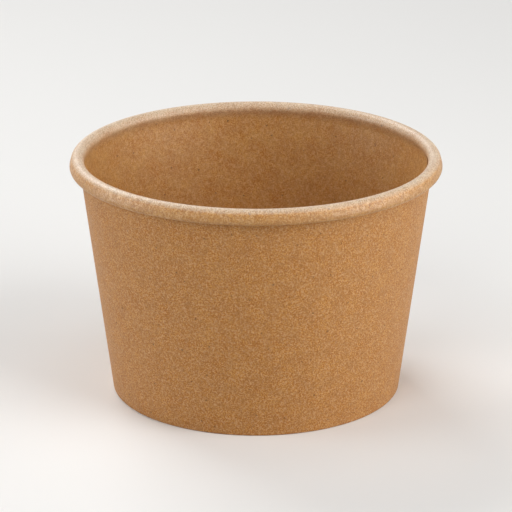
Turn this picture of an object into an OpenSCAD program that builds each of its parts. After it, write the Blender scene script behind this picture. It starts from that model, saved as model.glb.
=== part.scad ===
// Paper soup container: a tapered cup of coated kraft board with a rolled rim.
// Millimetres, +Z up, origin at the centre of the ring it stands on.

/* [Overall] */
// Outer diameter over the rolled rim
rim_d = 90; // [84:0.5:130]
// Height from the table to the top of the rolled rim
height = 59.3; // [40:0.1:140]
// Outer diameter of the wall at the table
base_d = 70.4; // [50:0.1:76]

/* [Board] */
// Thickness of the wall's board
wall_t = 0.45; // [0.3:0.05:0.6]
// Thickness of the bottom's board
bottom_t = 0.35; // [0.25:0.05:0.5]
// Clearance between two glued layers
glue_t = 0.02; // [0.01:0.01:0.05]

/* [Rolled rim] */
// Height of the roll
roll_h = 3.7; // [3.4:0.1:5]
// Width of the roll, from its inner side to its outer side
roll_w = 3.5; // [3.3:0.1:5]
// Outer radius of the board over the top of the roll
roll_top_r = 1.6; // [1.3:0.05:1.6]
// Outer radius of the board where it turns in under the roll
roll_low_r = 1.1; // [0.8:0.05:1.2]
// Turn of that lower bend, as far as the board's hidden edge, in degrees
roll_turn = 215; // [150:5:235]
// How far the roll bulges inwards from the wall's inner face
roll_bulge = 0.8; // [0.2:0.1:1.1]
// Inner radius of the gentle bend that starts the bulge
neck_r = 4; // [1:0.5:10]

/* [Base] */
// Height of the bottom's underside above the table
recess_h = 6.5; // [4:0.1:12]
// Outer radius of the bend from the bottom into its skirt
skirt_r = 0.8; // [0.6:0.1:2]
// How far the hem's edge stays below the bottom's underside
hem_gap = 0.9; // [0.5:0.1:2.5]

/* [Side seam] */
// Direction of the inner layer's edge, anticlockwise from the right, in degrees
seam_angle = 7; // [0:1:359]
// Width of the glued overlap at half height
lap_w = 7; // [4:0.5:12]
// Length over which the outer layer climbs onto the inner one
climb_w = 2.5; // [1.5:0.5:5]

/* [Hidden] */
$fn = 144;
// Largest turn between two points on a bend, in degrees
ARC_STEP = 15;
KRAFT = "#ad7c4c";
KRAFT_INSIDE = "#a37040";

base_r = base_d / 2;
rim_r = rim_d / 2;

// Centres of the roll's two bends, as [radius, height]
roll_top = [rim_r - roll_w + roll_top_r, height - roll_top_r];
roll_low = [rim_r - roll_low_r, height - roll_h + roll_low_r];
roll_step = roll_top - roll_low;
// Way that the straight stretch between the two bends faces
flank = atan2(roll_step[1], roll_step[0]) - acos((roll_low_r - roll_top_r) / norm(roll_step));

// Lean of the wall from upright: its outer face starts at the base and passes the roll's upper centre
roll_offset = roll_top_r - roll_bulge - wall_t;
lean = atan2(roll_top[0] - base_r, roll_top[1])
     - asin(roll_offset / norm([roll_top[0] - base_r, roll_top[1]]));

// Bend that carries the wall inwards to the roll
neck_turn = acos(1 - roll_bulge / (roll_top_r + neck_r));
neck = roll_top - (roll_top_r + neck_r) * dir(neck_turn - lean);

// Slot between wall and hem that the bottom's skirt fills
pocket_w = bottom_t + 2 * glue_t;
hem_h = recess_h - hem_gap;
crease_wall = at(wall_t, -wall_t);
crease_hem = at(wall_t, -wall_t - pocket_w);

// Bend of the bottom into its skirt
skirt_bend = at(recess_h + bottom_t - skirt_r, -wall_t - glue_t - skirt_r);

// Side seam, measured around the wall at half height
mid_r = at(height / 2, 0)[0];
lap_turn = degrees_of(lap_w);
climb_turn = degrees_of(climb_w);
climb_tilt = atan(wall_t / climb_w);
climb_from = seam_angle - climb_turn;
// The overlap runs up into the roll, and the roll presses the inside flush above the neck
lap_top = roll_low[1];
tunnel_top = neck[1];
// How far cutting shapes reach past what they cut
spare = 1;

// Unit vector at an angle
function dir(a) = [cos(a), sin(a)];

// Point at height z, d outside the wall's outer face, as [radius, height]
function at(z, d) = [base_r + z * tan(lean) + d / cos(lean), z];

// Turn about the axis that covers a length along the wall
function degrees_of(length) = length / mid_r * 180 / PI;

// Points along an arc about c, from angle a to angle b
function arc(c, r, a, b) =
    let (steps = ceil(abs(b - a) / ARC_STEP))
    [for (i = [0:steps]) c + r * dir(a + (b - a) * i / steps)];

// The same points the other way round
function backwards(points) = [for (i = [len(points) - 1:-1:0]) points[i]];

// One face of the board from the neck to the hidden edge; depth is how far it lies inside the roll
function roll_face(depth) = concat(
    arc(neck, neck_r + depth, -lean, neck_turn - lean),
    arc(roll_top, roll_top_r - depth, 180 + neck_turn - lean, flank),
    arc(roll_low, roll_low_r - depth, flank, flank - roll_turn));

// Section of the wall's board: hem, fold at the table, cone, neck and roll
module wall_section() {
    outer_face = concat(
        [at(hem_h, -2 * wall_t - pocket_w)],
        arc(crease_hem, wall_t, 180 - lean, 270),
        arc(crease_wall, wall_t, -90, -lean),
        roll_face(wall_t));
    inner_face = concat([at(hem_h, -wall_t - pocket_w), crease_hem, crease_wall], roll_face(0));
    polygon(concat(outer_face, backwards(inner_face)));
}

// Section of the bottom's board: flat, bend and skirt
module bottom_section() {
    foot_z = wall_t + glue_t;
    polygon(concat(
        [[0, recess_h + bottom_t]],
        arc(skirt_bend, skirt_r, 90, -lean),
        [at(foot_z, -wall_t - glue_t), at(foot_z, -wall_t - glue_t - bottom_t)],
        arc(skirt_bend, skirt_r - bottom_t, -lean, 90),
        [[0, recess_h]]));
}

// Stretch of the cone between two heights, from d_in to d_out outside the wall's outer face
module cone_band(z0, z1, d_in, d_out) {
    polygon([at(z0, d_in), at(z0, d_out), at(z1, d_out), at(z1, d_in)]);
}

// Turns its children about the wall's own slant line at the climb, so that they rise out of the cone there
module on_the_climb() {
    foot = base_r * [cos(climb_from), sin(climb_from), 0];
    slant = [sin(lean) * cos(climb_from), sin(lean) * sin(climb_from), cos(lean)];
    translate(foot)
        rotate(a = -climb_tilt, v = slant)
            translate(-foot)
                children();
}

// Its children swept about the axis from one angle to another
module sweep(from, to) {
    rotate([0, 0, from])
        rotate_extrude(angle = to - from)
            children();
}

// Outer layer of the seam: a band over the inner layer, with the wedge above the climb taken off its start
module seam_outer_layer() {
    difference() {
        sweep(climb_from - climb_turn / 2, seam_angle + lap_turn)
            cone_band(0, lap_top, -wall_t / 2, wall_t);
        on_the_climb()
            sweep(climb_from - climb_turn, seam_angle + climb_turn)
                cone_band(-spare, lap_top + spare, 0, wall_t + spare);
    }
}

// Narrow space under the climb, beside the inner layer's cut edge
module seam_tunnel() {
    intersection() {
        on_the_climb()
            sweep(climb_from - climb_turn, seam_angle + climb_turn)
                cone_band(recess_h - spare, tunnel_top + spare, -wall_t - spare, -wall_t);
        sweep(climb_from - climb_turn / 2, seam_angle)
            cone_band(recess_h, tunnel_top, -wall_t - spare, wall_t);
    }
}

// Wall blank: hem, fold, cone, side seam and rolled rim
module sidewall() {
    color(KRAFT)
        difference() {
            union() {
                rotate_extrude()
                    wall_section();
                seam_outer_layer();
            }
            seam_tunnel();
        }
}

// Bottom blank: a flat disc with its edge turned down
module bottom() {
    color(KRAFT_INSIDE)
        rotate_extrude()
            bottom_section();
}

sidewall();
bottom();
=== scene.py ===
"""Kraft paper soup container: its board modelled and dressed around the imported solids.

Sizes in the classes are millimetres, and the meshes are metres. +Z is up, and the origin is at the centre of
the ring that the container stands on. Azimuths are in degrees, anticlockwise from +X.
"""

import logging
import math
from collections.abc import Callable, Sequence
from dataclasses import dataclass, field
from enum import Enum, IntEnum
from typing import Any

import bpy
from bpy.types import Material, MeshPolygon, Node, NodeSocket, NodeTree, Object
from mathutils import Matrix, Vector


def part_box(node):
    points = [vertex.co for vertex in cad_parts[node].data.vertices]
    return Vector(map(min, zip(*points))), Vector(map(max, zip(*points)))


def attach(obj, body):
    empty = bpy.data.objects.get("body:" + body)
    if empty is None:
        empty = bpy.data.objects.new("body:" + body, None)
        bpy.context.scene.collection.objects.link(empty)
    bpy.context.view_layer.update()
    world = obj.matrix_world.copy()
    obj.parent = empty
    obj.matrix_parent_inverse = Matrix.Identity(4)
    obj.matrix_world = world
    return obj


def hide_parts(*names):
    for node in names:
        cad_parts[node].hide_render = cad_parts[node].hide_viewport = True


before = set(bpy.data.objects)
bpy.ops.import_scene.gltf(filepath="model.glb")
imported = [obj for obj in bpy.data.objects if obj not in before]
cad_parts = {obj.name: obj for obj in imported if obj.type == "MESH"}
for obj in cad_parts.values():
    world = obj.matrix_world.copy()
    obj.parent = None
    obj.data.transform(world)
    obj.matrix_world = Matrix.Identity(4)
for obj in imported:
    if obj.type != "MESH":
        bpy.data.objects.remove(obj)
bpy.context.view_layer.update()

log = logging.getLogger("soup_container")

MM = 0.001
# UV map that lays the board out flat, in millimetres
BLANK_MAP = "blank_mm"
# Point attributes of each board mesh, as Station describes them, and which face of the board a point is on
ALONG, CURLED, PAINTED_LIGHT, FACE = "along_mm", "curled", "painted_light", "board_face"
# Sockets of a colour Mix node
MIX_A, MIX_B, MIX_RESULT = 6, 7, 2
# Way across the blank from the kraft face's patch of pattern to the coated face's, so that the two differ
FACE_GAP = 400.0
# Angle from which an edge is shaded sharp, in degrees
SHARP_FROM = 35.0
# Distance within which the end of a sweep is welded to its start
WELD = 0.001


class BoardFace(Enum):
    """The two faces of the board, as values of its attribute."""

    LINER = 0.0
    COATED = 1.0


class Slot(IntEnum):
    """Material slots of a board mesh, in their order."""

    LINER = 0
    COATED = 1
    CUT = 2


def direction(degrees: float) -> Vector:
    """Returns the unit vector at an angle in a plane."""
    return Vector((math.cos(math.radians(degrees)), math.sin(math.radians(degrees))))


def smooth(value: float, low: float, high: float) -> float:
    """Returns how far a value has got from low to high, from 0 to 1, with soft ends."""
    share = min(max((value - low) / (high - low), 0.0), 1.0)
    return share * share * (3 - 2 * share)


def azimuth_of(place: Vector) -> float:
    """Returns the azimuth of a place, from 0 to 360 degrees."""
    return math.degrees(math.atan2(place.y, place.x)) % 360


@dataclass
class Station:
    """One crosswise line through the board of a section, with points as [radius, height].

    Args:
        liner: The point on the bare kraft face.
        coated: The point on the coated face.
        along: How far along the board the line lies.
        curled: 1 where the board is curled into the rim, 0 where it isn't.
        painted_light: 1 where painted sheen lightens the crown most, -1 where painted shade darkens the
            roll's outer flank.
    """

    liner: Vector
    coated: Vector
    along: float = 0.0
    curled: float = 0.0
    painted_light: float = 0.0

    @property
    def middle(self) -> Vector:
        """The point halfway through the board."""
        return (self.liner + self.coated) / 2


def bend(
    centre: Vector, liner_r: float, coated_r: float, start: float, end: float, step: float = 7.5
) -> list[Station]:
    """Bends the board about a point.

    Args:
        centre: The point, as [radius, height].
        liner_r: Radius of the kraft face.
        coated_r: Radius of the coated face.
        start: Angle of the first line, in degrees.
        end: Angle of the last line.
        step: Largest turn between two lines.

    Returns:
        The lines across the bend, both ends included.
    """
    count = math.ceil(abs(end - start) / step)
    turns = [direction(start + (end - start) * i / count) for i in range(count + 1)]
    return [Station(centre + liner_r * turn, centre + coated_r * turn) for turn in turns]


def straight(first: Station, last: Station, length: float) -> list[Station]:
    """Fills in the lines between two others.

    Args:
        first: The line before them.
        last: The line after them.
        length: How far apart they are at most.

    Returns:
        The lines, without the two.
    """
    count = math.ceil((last.middle - first.middle).length / length)
    shares = [i / count for i in range(1, count)]
    return [Station(first.liner.lerp(last.liner, s), first.coated.lerp(last.coated, s)) for s in shares]


def measure(stations: Sequence[Station]) -> None:
    """Fills in how far along the board each line lies, from the first one on."""
    for before, station in zip(stations, stations[1:]):
        station.along = before.along + (station.middle - before.middle).length


def deselect_all() -> None:
    """Deselects every object."""
    bpy.ops.object.select_all(action="DESELECT")


def trace_section(name: str, stations: Sequence[Station], azimuth: float, closed: bool) -> Object:
    """Draws the outline of a board's section by extruding one corner all round it.

    Args:
        name: Name of the new piece.
        stations: Lines across the board, in order along it.
        azimuth: Azimuth of the plane that the section is drawn in.
        closed: True if the outline comes back to its first corner, False if both ends lie on the axis.

    Returns:
        The piece, which so far is an outline of edges with its attributes.
    """
    corners = [(s.liner, s, BoardFace.LINER) for s in stations]
    corners += [(s.coated, s, BoardFace.COATED) for s in reversed(stations)]
    heading = direction(azimuth)
    places = [Vector((heading.x * point.x, heading.y * point.x, point.y)) * MM for point, _, _ in corners]
    route = places + places[:1] if closed else places
    deselect_all()
    bpy.ops.mesh.primitive_plane_add(size=MM, location=places[0])
    piece = bpy.context.object
    piece.name = piece.data.name = name
    bpy.ops.object.mode_set(mode="EDIT")
    bpy.ops.mesh.merge(type="CENTER")
    for here, there in zip(route, route[1:]):
        bpy.ops.mesh.extrude_region_move(TRANSFORM_OT_translate={"value": there - here})
    bpy.ops.object.mode_set(mode="OBJECT")
    bpy.ops.object.transform_apply(location=True, rotation=True, scale=True)
    found = [
        corners[min(range(len(places)), key=lambda i: (places[i] - vertex.co).length)]
        for vertex in piece.data.vertices
    ]
    values = {
        ALONG: [station.along for _, station, _ in found],
        FACE: [face.value for _, _, face in found],
        CURLED: [station.curled for _, station, _ in found],
        PAINTED_LIGHT: [station.painted_light for _, station, _ in found],
    }
    for label, column in values.items():
        piece.data.attributes.new(label, "FLOAT", "POINT").data.foreach_set("value", column)
    return piece


def sweep(piece: Object, sectors: Sequence[tuple[float, int]]) -> None:
    """Spins a section about the axis, sector by sector, and welds the end to the start.

    Args:
        piece: The piece, holding its section's outline.
        sectors: The turn of each sector in degrees, and its number of steps. Together they turn once round.
    """
    bpy.ops.object.mode_set(mode="EDIT")
    bpy.ops.mesh.select_all(action="SELECT")
    for turn, steps in sectors:
        # Spin turns clockwise about its axis, so the axis points down
        bpy.ops.mesh.spin(steps=steps, angle=math.radians(turn), center=(0, 0, 0), axis=(0, 0, -1))
    bpy.ops.mesh.select_all(action="SELECT")
    bpy.ops.mesh.remove_doubles(threshold=WELD * MM)
    bpy.ops.mesh.normals_make_consistent(inside=False)
    bpy.ops.object.mode_set(mode="OBJECT")


def pick(piece: Object) -> None:
    """Makes a piece the only selected object, and the active one.

    Args:
        piece: The piece.
    """
    deselect_all()
    piece.select_set(True)
    bpy.context.view_layer.objects.active = piece


def push(
    piece: Object, name: str, distance: float, share_at: Callable[[Vector, float, float], float]
) -> None:
    """Moves the surface of a piece along its normals, by a distance that differs from place to place.

    Args:
        piece: The piece.
        name: Name for the vertex group and the modifier.
        distance: The full distance in millimetres, outwards if it is above 0.
        share_at: Gives the share at a vertex from its place in millimetres, its along and its face.
    """
    along = piece.data.attributes[ALONG].data
    face = piece.data.attributes[FACE].data
    shares = [share_at(v.co / MM, along[v.index].value, face[v.index].value) for v in piece.data.vertices]
    group = piece.vertex_groups.new(name=name)
    for index, share in enumerate(shares):
        if share > 0:
            group.add([index], share, "REPLACE")
    modifier = piece.modifiers.new(name, "DISPLACE")
    modifier.vertex_group = name
    modifier.mid_level = 0
    modifier.strength = distance * MM
    pick(piece)
    bpy.ops.object.modifier_apply(modifier=name)
    piece.vertex_groups.clear()


def lay_out(piece: Object, flat_place: Callable[[float, float, float], tuple[float, float]]) -> None:
    """Gives a piece the UV map of its flat blank.

    Args:
        piece: The piece.
        flat_place: Gives the place on the blank in millimetres from an azimuth that runs on without a jump
            over each polygon, the azimuth of the polygon's centre, and how far along the corner lies.
    """
    mesh = piece.data
    along = mesh.attributes[ALONG].data
    blank = mesh.uv_layers.new(name=BLANK_MAP)
    gaps = [FACE_GAP * face_share(piece, polygon) for polygon in mesh.polygons]
    for polygon, gap in zip(mesh.polygons, gaps):
        centre = azimuth_of(polygon.center)
        for loop in polygon.loop_indices:
            vertex = mesh.vertices[mesh.loops[loop].vertex_index]
            turn = (azimuth_of(vertex.co) - centre + 180) % 360 - 180
            x, y = flat_place(centre + turn, centre, along[vertex.index].value)
            blank.data[loop].uv = (x + gap, y)


def face_share(piece: Object, polygon: MeshPolygon) -> float:
    """Returns 0 for a polygon of the kraft face, 1 for one of the coated face, and between for a cut edge."""
    face = piece.data.attributes[FACE].data
    return sum(face[index].value for index in polygon.vertices) / len(polygon.vertices)


def assign_slots(piece: Object, cut_at: Callable[[MeshPolygon], bool]) -> None:
    """Gives each polygon its material slot.

    Args:
        piece: The piece.
        cut_at: True for a polygon of a cut edge that lies within one face of the board.
    """
    for polygon in piece.data.polygons:
        share = face_share(piece, polygon)
        if cut_at(polygon) or 0 < share < 1:
            polygon.material_index = Slot.CUT
        else:
            polygon.material_index = Slot.COATED if share else Slot.LINER


def finish_mesh(piece: Object) -> None:
    """Shades a piece smooth, apart from its cut edges and steps.

    Args:
        piece: The piece.
    """
    pick(piece)
    bpy.ops.object.shade_smooth_by_angle(angle=math.radians(SHARP_FROM))


@dataclass(frozen=True)
class Taper:
    """The cone that the wall's outer face lies on.

    Args:
        base_r: Its radius at the table.
        lean: Its lean from upright, in degrees.
    """

    base_r: float
    lean: float

    def at(self, z: float, out: float) -> Vector:
        """Returns the point at a height that lies some way outside the cone, as [radius, height]."""
        lean = math.radians(self.lean)
        return Vector((self.base_r + z * math.tan(lean) + out / math.cos(lean), z))


@dataclass
class Sidewall:
    """The wall's blank: a hem folded in at the foot, a cone lapped and glued at its side, and a rolled rim.

    Args:
        rim_r: Outer radius of the rolled rim.
        height: Height from the table to the top of the rim.
        disc_top: Height of the bottom's upper face.
    """

    rim_r: float
    height: float
    disc_top: float
    base_r: float = 35.2
    board_t: float = 0.45
    roll_h: float = 3.7
    roll_w: float = 3.5
    roll_top_r: float = 1.6
    roll_low_r: float = 1.1
    roll_turn: float = 215.0
    roll_bulge: float = 0.8
    neck_r: float = 4.0
    hem_h: float = 5.6
    pocket_w: float = 0.39
    seam_angle: float = 7.0
    lap_w: float = 7.0
    climb_w: float = 2.5
    # Turn that a cut edge takes up in the mesh, in degrees
    edge_turn: float = 0.03
    # Share of the lap's height that is left in the pressed hem, and the way over which it ends in the roll
    hem_lap: float = 0.7
    lap_fade: float = 2.0
    # How far below and above the bottom's upper face the recess beside the inner layer's edge starts
    foot_below: float = 0.6
    foot_above: float = 0.1
    # Share of the painted sheen that already lies on the end of the neck, before the board curls: painted
    # light that lifts the shade under the roll
    neck_painted_light: float = 0.3
    columns: int = 244
    taper: Taper = field(init=False)
    stations: list[Station] = field(init=False)

    def __post_init__(self) -> None:
        """Works out the wall's lean and the section."""
        self.roll_top = Vector((self.rim_r - self.roll_w + self.roll_top_r, self.height - self.roll_top_r))
        self.roll_low = Vector((self.rim_r - self.roll_low_r, self.height - self.roll_h + self.roll_low_r))
        reach = Vector((self.roll_top.x - self.base_r, self.roll_top.y))
        offset = self.roll_top_r - self.roll_bulge - self.board_t
        lean = math.degrees(math.atan2(reach.x, reach.y) - math.asin(offset / reach.length))
        self.taper = Taper(self.base_r, lean)
        mid_r = self.taper.at(self.height / 2, 0).x
        self.lap_turn = math.degrees(self.lap_w / mid_r)
        self.climb_turn = math.degrees(self.climb_w / mid_r)
        self.draw_section()

    def draw_section(self) -> None:
        """Sets the lines across the board, from the hem's edge to the edge hidden in the roll."""
        t, lean = self.board_t, self.taper.lean
        fold_wall = self.taper.at(t, -t)
        fold_hem = self.taper.at(t, -t - self.pocket_w)
        roll_step = self.roll_top - self.roll_low
        slope = math.degrees(math.atan2(roll_step.y, roll_step.x))
        flank = slope - math.degrees(math.acos((self.roll_low_r - self.roll_top_r) / roll_step.length))
        neck_turn = math.degrees(math.acos(1 - self.roll_bulge / (self.roll_top_r + self.neck_r)))
        neck_end = neck_turn - lean
        neck = self.roll_top - (self.roll_top_r + self.neck_r) * direction(neck_end)

        edge_out = self.taper.at(self.hem_h, -2 * t - self.pocket_w)
        hem_edge = Station(edge_out, self.taper.at(self.hem_h, -t - self.pocket_w))
        hem_bend = bend(fold_hem, t, 0, 180 - lean, 270, step=12)
        wall_bend = bend(fold_wall, t, 0, -90, -lean, step=12)
        neck_bend = bend(neck, self.neck_r + t, self.neck_r, -lean, neck_end, step=4)
        top_bend = bend(self.roll_top, self.roll_top_r - t, self.roll_top_r, 180 + neck_end, flank)
        low_bend = bend(self.roll_low, self.roll_low_r - t, self.roll_low_r, flank, flank - self.roll_turn)
        self.stations = [
            hem_edge,
            *straight(hem_edge, hem_bend[0], 1.5),
            *hem_bend,
            *wall_bend,
            *straight(wall_bend[-1], neck_bend[0], 3),
            *neck_bend,
            *top_bend[1:],
            *low_bend,
        ]
        measure(self.stations)
        self.base_along, self.neck_along = wall_bend[0].along, neck_bend[0].along
        self.hem_along, self.roll_along = hem_bend[0].along, neck_bend[-1].along
        # Painted sheen over the crown, with a little painted light on the shaded neck below it, and painted
        # shade from the roll's outer side on, where the flank turns down
        crown, side = max(top_bend, key=lambda station: station.coated.y).along, top_bend[-1].along
        for station in self.stations:
            along = station.along
            station.curled = smooth(along, self.roll_along - 0.2, crown)
            painted_light = self.neck_painted_light * smooth(along, self.neck_along, self.roll_along)
            painted_light += (1 - self.neck_painted_light) * smooth(along, self.roll_along - 0.9, crown - 0.3)
            painted_light *= 1 - smooth(along, crown + 0.4, side + 0.4)
            station.painted_light = painted_light - smooth(along, crown + 1, side + 1)

    def lift(self, place: Vector, along: float, face: float) -> float:
        """Finds how far the outer layer of the lap raises the kraft face.

        Args:
            place: The place on the piece, in millimetres.
            along: How far along the board it lies.
            face: Which face of the board it is on.

        Returns:
            The height as a share of the board's thickness.
        """
        turn = (azimuth_of(place) - self.seam_angle + 180) % 360 - 180
        if face != BoardFace.LINER.value or turn > self.lap_turn + self.edge_turn / 2:
            return 0.0
        around = smooth(turn, -self.climb_turn, 0)
        # The hem is pressed together, the fold stays flat on the table, and the lap ends inside the roll
        pressed = self.hem_lap + (1 - self.hem_lap) * smooth(along, self.hem_along, self.base_along)
        low = min(1.0, place.z / max(self.board_t - place.z, self.board_t / 10))
        inside_roll = 1 - smooth(along, self.roll_along, self.roll_along + self.lap_fade)
        return around * pressed * low * inside_roll

    def recess(self, place: Vector, along: float, face: float) -> float:
        """Finds how far the coated face falls back beside the inner layer's edge.

        Args:
            place: The place on the piece, in millimetres.
            along: How far along the board it lies.
            face: Which face of the board it is on.

        Returns:
            The depth as a share of the board's thickness.
        """
        turn = (azimuth_of(place) - self.seam_angle + 180) % 360 - 180
        if face != BoardFace.COATED.value or turn > self.edge_turn / 2:
            return 0.0
        above_disc = smooth(place.z, self.disc_top - self.foot_below, self.disc_top + self.foot_above)
        in_roll = 1 - smooth(along, self.neck_along, self.roll_along)
        return smooth(turn, -self.climb_turn, 0) * above_disc * in_roll

    def is_cut(self, polygon: MeshPolygon) -> bool:
        """Returns whether a polygon lies on the free edge of either layer at the side seam."""
        turn = (azimuth_of(polygon.center) - self.seam_angle + 180) % 360 - 180
        return 0 < turn < self.edge_turn or 0 < turn - self.lap_turn < self.edge_turn

    def flat_place(self, azimuth: float, centre: float, along: float) -> tuple[float, float]:
        """Finds a place on the fan-shaped blank, as lay_out asks for it.

        Args:
            azimuth: Azimuth of the place.
            centre: Azimuth of its polygon's centre.
            along: How far along the board it lies.

        Returns:
            The place on the blank, in millimetres.
        """
        lean = math.sin(math.radians(self.taper.lean))
        start = self.seam_angle + self.lap_turn
        turned = (centre - start) % 360 + azimuth - centre
        fan = direction((turned - 180) * lean) * (self.base_r / lean + along - self.base_along)
        return fan.x, fan.y

    def build(self) -> Object:
        """Models the wall.

        Returns:
            The finished piece, without its materials.
        """
        start = self.seam_angle - self.climb_turn
        piece = trace_section("kraft_sidewall", self.stations, start, closed=True)
        rest = 360 - self.climb_turn - self.lap_turn - self.edge_turn
        lap = self.lap_turn - self.edge_turn
        sweep(
            piece,
            [(self.climb_turn, 6), (self.edge_turn, 1), (lap, 8), (self.edge_turn, 1), (rest, self.columns)],
        )
        lay_out(piece, self.flat_place)
        assign_slots(piece, self.is_cut)
        push(piece, "lap", self.board_t, self.lift)
        push(piece, "beside_edge", -self.board_t, self.recess)
        finish_mesh(piece)
        return piece


@dataclass
class Bottom:
    """The bottom's blank: a disc whose edge is turned down between the wall and the hem.

    Args:
        taper: The cone of the wall's outer face.
        wall_t: Thickness of the wall's board.
        top: Height of its upper face.
        foot: Height of its skirt's edge.
    """

    taper: Taper
    wall_t: float
    top: float
    foot: float
    board_t: float = 0.35
    glue_t: float = 0.02
    skirt_r: float = 0.8
    columns: int = 216

    def stations(self) -> list[Station]:
        """Works out the section.

        Returns:
            The lines across the board, from the axis to the skirt's edge.
        """
        t, under = self.board_t, self.top - self.board_t
        gap = -self.wall_t - self.glue_t
        centre = Station(Vector((0, under)), Vector((0, self.top)))
        corner = self.taper.at(self.top - self.skirt_r, gap - self.skirt_r)
        skirt_bend = bend(corner, self.skirt_r - t, self.skirt_r, 90, -self.taper.lean)
        foot = Station(self.taper.at(self.foot, gap - t), self.taper.at(self.foot, gap))
        lines = [
            centre,
            *straight(centre, skirt_bend[0], 4),
            *skirt_bend,
            *straight(skirt_bend[-1], foot, 1.5),
            foot,
        ]
        measure(lines)
        return lines

    def build(self) -> Object:
        """Models the bottom.

        Returns:
            The finished piece, without its materials.
        """
        piece = trace_section("kraft_bottom", self.stations(), 0, closed=False)
        sweep(piece, [(360, self.columns)])
        lay_out(piece, lambda azimuth, centre, along: tuple(direction(azimuth) * along))
        assign_slots(piece, lambda polygon: False)
        finish_mesh(piece)
        return piece


def linear(code: str) -> tuple[float, float, float, float]:
    """Turns an sRGB colour into a linear one.

    Args:
        code: The colour in hex, with its hash.

    Returns:
        Its linear red, green and blue, and an alpha of 1.
    """
    parts = [int(code[i : i + 2], 16) / 255 for i in (1, 3, 5)]
    red, green, blue = (c / 12.92 if c <= 0.04045 else ((c + 0.055) / 1.055) ** 2.4 for c in parts)
    return red, green, blue, 1.0


def add_node(tree: NodeTree, kind: str, inputs: dict[str | int, Any] | None = None, **settings: Any) -> Node:
    """Adds a node to a tree.

    Args:
        tree: The tree.
        kind: The node's type.
        inputs: A value, or a socket to link, for each input that doesn't keep its default.
        **settings: The node's own properties.

    Returns:
        The node.
    """
    node = tree.nodes.new(kind)
    for name, value in settings.items():
        setattr(node, name, value)
    for name, value in (inputs or {}).items():
        if isinstance(value, NodeSocket):
            tree.links.new(value, node.inputs[name])
        else:
            node.inputs[name].default_value = value
    return node


def calculate(
    tree: NodeTree, operation: str, *values: NodeSocket | float, clamp: bool = False
) -> NodeSocket:
    """Returns the result of a Math node."""
    inputs = dict(enumerate(values))
    return add_node(tree, "ShaderNodeMath", inputs, operation=operation, use_clamp=clamp).outputs[0]


# Each layer of fibres is shifted and turned from the one before by these, in millimetres and radians
LAYER_SHIFT = (17.0, 5.0)
LAYER_TURN = 0.7
# Levels of noise over which a fibre comes up from under the others, and a patch of tone sets in
FIBRE_FADE = (0.42, 0.62)
TONE_FADE = (0.3, 0.7)
# Levels on either side of the middle over which the pulp goes from deep to light
PULP_FADE = 0.4
# Lumps in a millimetre of the noise that makes edges ragged, and how far it moves them, in millimetres
RAG_RATE = 0.9
RAG_REACH = 0.6
# Shares of a speck's radius at which it starts to show, and shows in full, and how strongly it does
SPECK_FADE = (1.5, 0.5)
SPECK_WEIGHT = 0.7
# Shares of the painted sheen's weight over the deepest pulp, and added to that over the lightest
PAINTED_SHEEN_LEAST = 0.6
PAINTED_SHEEN_MORE = 0.8
# How much less rough a pale fibre is than the rest
FIBRE_POLISH = 0.12
NAP_ROUGHNESS = 0.5
# How strongly the fibres' relief shows, and its height in millimetres
RELIEF_STRENGTH = 0.35
RELIEF_H = 0.03


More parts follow.
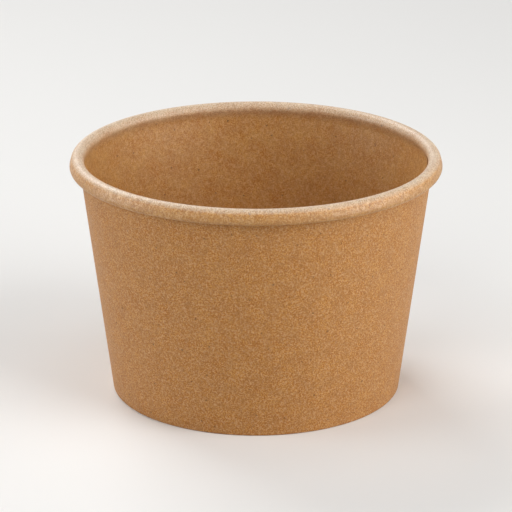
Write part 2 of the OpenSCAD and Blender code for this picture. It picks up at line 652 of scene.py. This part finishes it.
@dataclass(frozen=True)
class KraftBoard:
    """Unbleached kraft board: brown wood fibres felted at random, which show as short pale and dark flecks.

    Args:
        name: Name of the material.
        deep: Colour of the pulp where it is darkest.
        light: Colour of the pulp where it is lightest.
        ashen: Colour of its greyer patches.
        pale_fibre: Colour of the bleached fibres.
        dark_fibre: Colour of the unbleached ones.
        bark: Colour of the rare specks of bark.
        painted_sheen: Colour of the painted sheen on the rim's crown.
        pressed: Colour of the painted shade on the rim's lower flank.
        ashen_weight: How strongly the greyer patches show.
        pale_weight: How strongly the pale fibres show.
        dark_weight: How strongly the dark ones show.
        fuzz_weight: How strongly the finest grain of the pulp shows.
        lump_weight: How strongly its lumps show.
        painted_sheen_weight: How strongly the painted sheen shows.
        painted_shade_weight: How strongly the painted shade shows.
        raised_fibres: How many times as strongly the fibres show where the film is curled over them.
        roughness: Roughness of the surface between its fibres.
        nap: Weight of the soft sheen of loose fibre ends.
        film: Weight of the clear film over it, 0 for bare board.
        film_roughness: Roughness of that film.
        pale_layers: Number of layers of pale fibres.
        dark_layers: Number of layers of dark ones.
    """

    name: str
    deep: str = "#96580d"
    light: str = "#b88440"
    ashen: str = "#9d6d3b"
    pale_fibre: str = "#be9668"
    dark_fibre: str = "#804d0f"
    bark: str = "#543519"
    painted_sheen: str = "#e9decb"
    # Painted sheen: a whitish colour laid on the rim's crown
    pressed: str = "#8c6026"
    # Painted shade: a darker colour laid on the roll's lower flank
    ashen_weight: float = 0.45
    pale_weight: float = 0.7
    dark_weight: float = 0.6
    fuzz_weight: float = 2.6
    lump_weight: float = 1.25
    painted_sheen_weight: float = 0.42
    painted_shade_weight: float = 0.4
    raised_fibres: float = 1.7
    roughness: float = 0.7
    nap: float = 0.05
    film: float = 0.0
    film_roughness: float = 0.42
    pale_layers: int = 3
    dark_layers: int = 3
    # Sizes in millimetres. A real fibre is about 0.03 mm wide, too fine to show in the render, so the fibres
    # and the fuzz between them are drawn coarser than real. The length is that of the stretch lying on top
    fibre_width: float = 0.07
    fibre_length: float = 1.1
    fibre_curl: float = 1.1
    fuzz: float = 0.3
    pulp_lump: float = 5.0
    tone_patch: float = 4.0
    speck_r: float = 0.19
    speck_gap: float = 8.5

    def ramp(
        self, tree: NodeTree, value: NodeSocket, low: float, high: float, top: float = 1.0
    ) -> NodeSocket:
        """Returns a value as 0 below low and top above high, with soft ends between."""
        limits = {"Value": value, "From Min": low, "From Max": high, "To Max": top}
        return add_node(tree, "ShaderNodeMapRange", limits, interpolation_type="SMOOTHSTEP").outputs["Result"]

    def noise(
        self, tree: NodeTree, place: NodeSocket, size: float, detail: float, rough: float
    ) -> NodeSocket:
        """Returns noise whose coarsest lumps have a size in millimetres."""
        inputs = {"Vector": place, "Scale": 1 / size, "Detail": detail, "Roughness": rough}
        return add_node(tree, "ShaderNodeTexNoise", inputs, noise_dimensions="2D").outputs["Fac"]

    def blend(self, tree: NodeTree, share: NodeSocket, under: Any, over: Any) -> NodeSocket:
        """Returns one colour laid over another by a share."""
        inputs = {0: share, MIX_A: under, MIX_B: over}
        return add_node(tree, "ShaderNodeMix", inputs, data_type="RGBA").outputs[MIX_RESULT]

    def layer(self, tree: NodeTree, blank: NodeSocket, number: int) -> NodeSocket:
        """Draws one layer of curly fibres: the level lines of a soft noise, cut into lengths by another.

        Args:
            tree: The material's tree.
            blank: The place on the blank.
            number: The layer's number, from 0.

        Returns:
            How much of a fibre shows at the place.
        """
        shift = {
            "Vector": blank,
            "Location": (LAYER_SHIFT[0] * number, LAYER_SHIFT[1] * number, 0),
            "Rotation": (0, 0, LAYER_TURN * number),
        }
        place = add_node(tree, "ShaderNodeMapping", shift).outputs["Vector"]
        hills = self.noise(tree, place, self.fibre_curl, 1.0, 0.5)
        away = calculate(tree, "ABSOLUTE", calculate(tree, "SUBTRACT", hills, 0.5))
        line = self.ramp(tree, away, self.fibre_width / self.fibre_curl, 0.0)
        lengths = self.ramp(tree, self.noise(tree, place, self.fibre_length, 0.0, 0.5), *FIBRE_FADE)
        return calculate(tree, "MULTIPLY", line, lengths)

    def fibres(self, tree: NodeTree, blank: NodeSocket, numbers: Sequence[int]) -> NodeSocket:
        """Lays some layers of fibres over each other.

        Args:
            tree: The material's tree.
            blank: The place on the blank.
            numbers: The layers' numbers.

        Returns:
            How much of a fibre shows at the place.
        """
        shown = self.layer(tree, blank, numbers[0])
        for number in numbers[1:]:
            shown = calculate(tree, "MAXIMUM", shown, self.layer(tree, blank, number))
        return shown

    def ragged(self, tree: NodeTree, blank: NodeSocket) -> NodeSocket:
        """Moves places on the blank to and fro, so that what is drawn there has ragged edges.

        Args:
            tree: The material's tree.
            blank: The place on the blank.

        Returns:
            The moved place.
        """
        inputs = {"Vector": blank, "Scale": RAG_RATE, "Detail": 1.0}
        wander = add_node(tree, "ShaderNodeTexNoise", inputs, noise_dimensions="2D").outputs["Color"]
        moved = {0: wander, 1: (RAG_REACH, RAG_REACH, 0), 2: blank}
        return add_node(tree, "ShaderNodeVectorMath", moved, operation="MULTIPLY_ADD").outputs["Vector"]

    def pulp(self, tree: NodeTree, place: NodeSocket, fuzz: NodeSocket) -> NodeSocket:
        """Draws the pulp between the fibres: its lumps, with its finest grain over them.

        Args:
            tree: The material's tree.
            place: The place that the lumps are drawn at.
            fuzz: The finest grain, above and below 0.

        Returns:
            How light the pulp is, from 0 to 1.
        """
        lumps = self.noise(tree, place, self.pulp_lump, 5.0, 0.75)
        lumps = calculate(tree, "MULTIPLY", lumps, self.lump_weight)
        uneven = calculate(tree, "MULTIPLY_ADD", fuzz, self.fuzz_weight, lumps)
        middle = self.lump_weight / 2
        return self.ramp(tree, uneven, middle - PULP_FADE, middle + PULP_FADE)

    def specks(self, tree: NodeTree, place: NodeSocket) -> NodeSocket:
        """Strews specks of bark.

        Args:
            tree: The material's tree.
            place: The place that they are drawn at.

        Returns:
            How much of a speck shows at the place.
        """
        inputs = {"Vector": place, "Scale": 1 / self.speck_gap}
        away = add_node(tree, "ShaderNodeTexVoronoi", inputs, voronoi_dimensions="2D").outputs["Distance"]
        outer, inner = (share * self.speck_r / self.speck_gap for share in SPECK_FADE)
        return self.ramp(tree, away, outer, inner)

    def raise_curled(self, tree: NodeTree, parts: Sequence[NodeSocket]) -> list[NodeSocket]:
        """Strengthens parts of the pattern where the curl raises them under the film.

        Args:
            tree: The material's tree.
            parts: The parts.

        Returns:
            The strengthened parts.
        """
        curled = add_node(tree, "ShaderNodeAttribute", attribute_name=CURLED).outputs["Fac"]
        limits = {"Value": curled, "To Min": 1.0, "To Max": self.raised_fibres}
        raised = add_node(tree, "ShaderNodeMapRange", limits).outputs["Result"]
        return [calculate(tree, "MULTIPLY", part, raised) for part in parts]

    def paint_sheen_and_shade(self, tree: NodeTree, pulp: NodeSocket, colour: NodeSocket) -> NodeSocket:
        """Paints sheen over the rim's crown, most of all over pale pulp, and paints shade on its lower flank.

        Args:
            tree: The material's tree.
            pulp: How light the pulp is.
            colour: The board's colour.

        Returns:
            The colour with the painted sheen and painted shade laid on.
        """
        painted_light = add_node(tree, "ShaderNodeAttribute", attribute_name=PAINTED_LIGHT).outputs["Fac"]
        least, more = PAINTED_SHEEN_LEAST * self.painted_sheen_weight, PAINTED_SHEEN_MORE * self.painted_sheen_weight
        mottled = calculate(tree, "MULTIPLY_ADD", pulp, more, least)
        # Painted sheen, mottled by the pulp, where the painted light is above 0
        painted_sheen_share = calculate(tree, "MULTIPLY", painted_light, mottled, clamp=True)
        # Painted shade on the roll's lower flank, where the painted light is below 0
        pressed = calculate(tree, "MULTIPLY", painted_light, -self.painted_shade_weight, clamp=True)
        colour = self.blend(tree, painted_sheen_share, colour, linear(self.painted_sheen))
        return self.blend(tree, pressed, colour, linear(self.pressed))

    def set_surface(self, tree: NodeTree, shader: Node, pale: NodeSocket, dark: NodeSocket) -> None:
        """Sets how the board shines, and the relief of its fibres.

        Args:
            tree: The material's tree.
            shader: Its shader.
            pale: How much of a pale fibre shows, which stands up and is a little smoother.
            dark: How much of a dark one shows, which lies deeper.
        """
        limits = {"Value": pale, "To Min": self.roughness, "To Max": self.roughness - FIBRE_POLISH}
        rough = add_node(tree, "ShaderNodeMapRange", limits).outputs["Result"]
        tree.links.new(rough, shader.inputs["Roughness"])
        shader.inputs["Coat Weight"].default_value = self.film
        shader.inputs["Coat Roughness"].default_value = self.film_roughness
        shader.inputs["Sheen Weight"].default_value = self.nap
        shader.inputs["Sheen Roughness"].default_value = NAP_ROUGHNESS
        height = calculate(tree, "SUBTRACT", pale, dark)
        relief = {"Height": height, "Strength": RELIEF_STRENGTH, "Distance": RELIEF_H * MM}
        tree.links.new(add_node(tree, "ShaderNodeBump", relief).outputs["Normal"], shader.inputs["Normal"])

    def make(self) -> Material:
        """Builds the material.

        Returns:
            The material, whose pattern lies on the blank.
        """
        material = bpy.data.materials.new(self.name)
        material.use_nodes = True
        tree = material.node_tree
        shader = tree.nodes["Principled BSDF"]
        blank = add_node(tree, "ShaderNodeUVMap", uv_map=BLANK_MAP).outputs["UV"]
        place = self.ragged(tree, blank)

        layers = range(self.pale_layers + self.dark_layers)
        pale = self.fibres(tree, blank, layers[: self.pale_layers])
        dark = self.fibres(tree, blank, layers[self.pale_layers :])
        fuzz = calculate(tree, "SUBTRACT", self.noise(tree, blank, self.fuzz, 0.0, 0.5), 0.5)
        if self.film:
            pale, dark, fuzz = self.raise_curled(tree, (pale, dark, fuzz))
        pulp = self.pulp(tree, place, fuzz)
        tone = self.noise(tree, blank, self.tone_patch, 2.0, 0.7)
        overlays = (
            (self.ramp(tree, tone, *TONE_FADE, top=self.ashen_weight), self.ashen),
            (calculate(tree, "MULTIPLY", pale, self.pale_weight), self.pale_fibre),
            (calculate(tree, "MULTIPLY", dark, self.dark_weight), self.dark_fibre),
            (calculate(tree, "MULTIPLY", self.specks(tree, place), SPECK_WEIGHT), self.bark),
        )
        colour = self.blend(tree, pulp, linear(self.deep), linear(self.light))
        for share, over in overlays:
            colour = self.blend(tree, share, colour, linear(over))
        if self.film:
            # Painted sheen on the rim's crown and painted shade on its lower flank
            colour = self.paint_sheen_and_shade(tree, pulp, colour)
        tree.links.new(colour, shader.inputs["Base Color"])
        self.set_surface(tree, shader, pale, dark)
        return material


@dataclass(frozen=True)
class CutEdge:
    """The board's cut edge: its bare core, paler than its faces and mottled by the cut ends of its fibres.

    Args:
        name: Name of the material.
        core: Colour of the core.
        ends: Colour of the fibres' ends.
        ends_gap: Way between bundles of ends, in millimetres.
        roughness: Roughness of the cut.
    """

    name: str = "kraft_cut_edge"
    core: str = "#b98d5e"
    ends: str = "#8f6536"
    ends_gap: float = 0.12
    roughness: float = 0.9

    def make(self) -> Material:
        """Builds the material.

        Returns:
            The material.
        """
        material = bpy.data.materials.new(self.name)
        material.use_nodes = True
        tree = material.node_tree
        shader = tree.nodes["Principled BSDF"]
        place = add_node(tree, "ShaderNodeTexCoord").outputs["Object"]
        inputs = {"Vector": place, "Scale": 1 / (self.ends_gap * MM), "Detail": 2.0}
        noise = add_node(tree, "ShaderNodeTexNoise", inputs).outputs["Fac"]
        colours = {0: noise, MIX_A: linear(self.core), MIX_B: linear(self.ends)}
        mixed = add_node(tree, "ShaderNodeMix", colours, data_type="RGBA").outputs[MIX_RESULT]
        tree.links.new(mixed, shader.inputs["Base Color"])
        shader.inputs["Roughness"].default_value = self.roughness
        return material


@dataclass(frozen=True)
class Softbox:
    """A soft lamp that faces the container.

    Args:
        name: Its name.
        side: Azimuth from the camera's side, positive to the right, in degrees.
        rise: Elevation above the table, in degrees.
        power: Power in watts.
        distance: Distance from the container, in millimetres.
        size: Length of its side.
    """

    name: str
    side: float
    rise: float
    power: float
    distance: float = 900.0
    size: float = 500.0

    def place(self, aim: Vector) -> None:
        """Sets the lamp up.

        Args:
            aim: The point that it faces, in metres.
        """
        side, rise = math.radians(self.side), math.radians(self.rise)
        away = Vector((math.sin(side) * math.cos(rise), -math.cos(side) * math.cos(rise), math.sin(rise)))
        bpy.ops.object.light_add(type="AREA", location=aim + away * self.distance * MM)
        lamp = bpy.context.object
        lamp.name = self.name
        lamp.rotation_euler = away.to_track_quat("Z", "Y").to_euler()
        lamp.data.shape = "SQUARE"
        lamp.data.size = self.size * MM
        lamp.data.energy = self.power


@dataclass
class Studio:
    """A pale floor, soft lamps and the camera.

    Args:
        lens: Focal length of the camera's lens.
        camera_rise: Elevation of the camera above the point that it is aimed at, in degrees.
        camera_distance: Distance of the camera from that point.
        aim_height: Height of that point, on the axis, at which the lamps are aimed too.
        floor_side: Length of the floor's side.
        floor_drop: How far the floor lies below the container, so that they don't share a plane.
        floor_colour: Colour of the floor and of what is seen round it.
        world_colour: Colour of the soft light from all round.
        world_strength: Its strength.
        fade_from: Distance from the axis at which the floor starts to fade into its surroundings.
        fade_to: Distance at which it has done so.
        lit_level: Brightness of the surroundings as seen, which is that of the floor under the lamps.
        lamps: The soft lamps.
    """

    lens: float = 213.3
    camera_rise: float = 19.41
    camera_distance: float = 740.7
    aim_height: float = 32.8
    floor_side: float = 12000.0
    floor_drop: float = 0.01
    floor_colour: str = "#f0efed"
    world_colour: str = "#ffffff"
    world_strength: float = 0.03
    fade_from: float = 120.0
    fade_to: float = 700.0
    lit_level: float = 0.85
    lamps: tuple[Softbox, ...] = (
        Softbox("left_low", -85, 12, 3.8),
        Softbox("right_low", 85, 12, 3.0),
        Softbox("front_right_low", 55, 12, 3.0),
        Softbox("front_right_high", 55, 40, 2.3),
        Softbox("front_left_high", -25, 40, 2.3),
        Softbox("back_left_high", -150, 40, 4.1),
        Softbox("overhead", 0, 89, 1.2),
    )

    def build_floor(self) -> None:
        """Adds the floor, which stays pale for the camera and keeps the shadow."""
        deselect_all()
        bpy.ops.mesh.primitive_plane_add(size=self.floor_side * MM, location=(0, 0, -self.floor_drop * MM))
        floor = bpy.context.object
        floor.name = "floor"
        material = bpy.data.materials.new("pale_floor")
        material.use_nodes = True
        tree = material.node_tree
        output = tree.nodes["Material Output"]
        tree.nodes.remove(tree.nodes["Principled BSDF"])
        colour = linear(self.floor_colour)
        matt = add_node(tree, "ShaderNodeBsdfDiffuse", {"Color": colour}).outputs[0]
        glow = add_node(tree, "ShaderNodeEmission", {"Color": colour, "Strength": self.lit_level}).outputs[0]
        place = add_node(tree, "ShaderNodeTexCoord").outputs["Object"]
        away = add_node(tree, "ShaderNodeVectorMath", {0: place}, operation="LENGTH").outputs["Value"]
        fade = {"Value": away, "From Min": self.fade_from * MM, "From Max": self.fade_to * MM}
        fade = add_node(tree, "ShaderNodeMapRange", fade, interpolation_type="SMOOTHSTEP").outputs["Result"]
        share = calculate(tree, "MULTIPLY", self.seen(tree), fade)
        both = add_node(tree, "ShaderNodeMixShader", {0: share, 1: matt, 2: glow}).outputs[0]
        tree.links.new(both, output.inputs["Surface"])
        floor.data.materials.append(material)

    def seen(self, tree: NodeTree) -> NodeSocket:
        """Tells the rays that show a surface from those that carry light.

        Args:
            tree: The tree that asks.

        Returns:
            1 on a ray that shows a surface to the eye, in a gloss or through something clear, otherwise 0.
        """
        rays = add_node(tree, "ShaderNodeLightPath").outputs
        shown = rays["Is Camera Ray"]
        for kind in ("Is Glossy Ray", "Is Transmission Ray"):
            shown = calculate(tree, "MAXIMUM", shown, rays[kind])
        return shown

    def build_world(self) -> None:
        """Sets the pale surroundings, which also light the container softly from all round."""
        world = bpy.data.worlds.new("studio")
        bpy.context.scene.world = world
        world.use_nodes = True
        tree = world.node_tree
        light, shown = (
            add_node(tree, "ShaderNodeBackground", {"Color": linear(colour), "Strength": strength}).outputs[0]
            for colour, strength in (
                (self.world_colour, self.world_strength),
                (self.floor_colour, self.lit_level),
            )
        )
        both = add_node(tree, "ShaderNodeMixShader", {0: self.seen(tree), 1: light, 2: shown}).outputs[0]
        tree.links.new(both, tree.nodes["World Output"].inputs["Surface"])

    def build_camera(self) -> None:
        """Adds the camera, which looks along +Y and down at the container."""
        rise = math.radians(self.camera_rise)
        aim = Vector((0, 0, self.aim_height * MM))
        back = Vector((0, -math.cos(rise), math.sin(rise)))
        bpy.ops.object.camera_add(location=aim + back * self.camera_distance * MM)
        camera = bpy.context.object
        camera.name = "camera"
        camera.rotation_euler = back.to_track_quat("Z", "Y").to_euler()
        camera.data.lens = self.lens
        camera.data.clip_start = 0.01
        bpy.context.scene.camera = camera

    def build(self) -> None:
        """Sets the whole studio up."""
        self.build_camera()
        self.build_floor()
        self.build_world()
        for lamp in self.lamps:
            lamp.place(Vector((0, 0, self.aim_height * MM)))


def carry_over(piece: Object, node: str) -> None:
    """Puts a piece in the frame in place of a solid, and reports it.

    Args:
        piece: The piece.
        node: The solid that it stands for.
    """
    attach(piece, "root")
    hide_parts(node)
    triangles = sum(len(polygon.vertices) - 2 for polygon in piece.data.polygons)
    log.info("%s: %d triangles, replaces %s", piece.name, triangles, node)


def main() -> None:
    """Builds the container and its studio."""
    logging.basicConfig(level=logging.INFO, format="%(name)s: %(message)s")
    low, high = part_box("sidewall")
    foot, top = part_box("bottom")
    rim_r = min(high.x, high.y, -low.x, -low.y) / MM
    wall = Sidewall(rim_r, high.z / MM, disc_top=top.z / MM)
    base = Bottom(wall.taper, wall.board_t, top=top.z / MM, foot=foot.z / MM)
    coated = KraftBoard(
        "film_coated_kraft",
        deep="#a56719",
        light="#c39350",
        ashen="#ac7c46",
        pale_fibre="#d0a878",
        dark_fibre="#8d5713",
        roughness=0.6,
        film=0.5,
        nap=0.0,
        pale_weight=0.45,
        dark_weight=0.35,
        fibre_width=0.09,
        fibre_curl=1.3,
        fuzz_weight=1.1,
        lump_weight=1.2,
    )
    finishes = (KraftBoard("kraft_liner").make(), coated.make(), CutEdge().make())
    for part, node, slot in ((wall, "sidewall", "kraft_wall"), (base, "bottom", "kraft_bottom")):
        piece = part.build()
        for finish in finishes:
            piece.data.materials.append(finish)
        carry_over(piece, node)
    Studio().build()
    bpy.context.scene.view_settings.view_transform = "Standard"


if __name__ == "__main__":
    main()
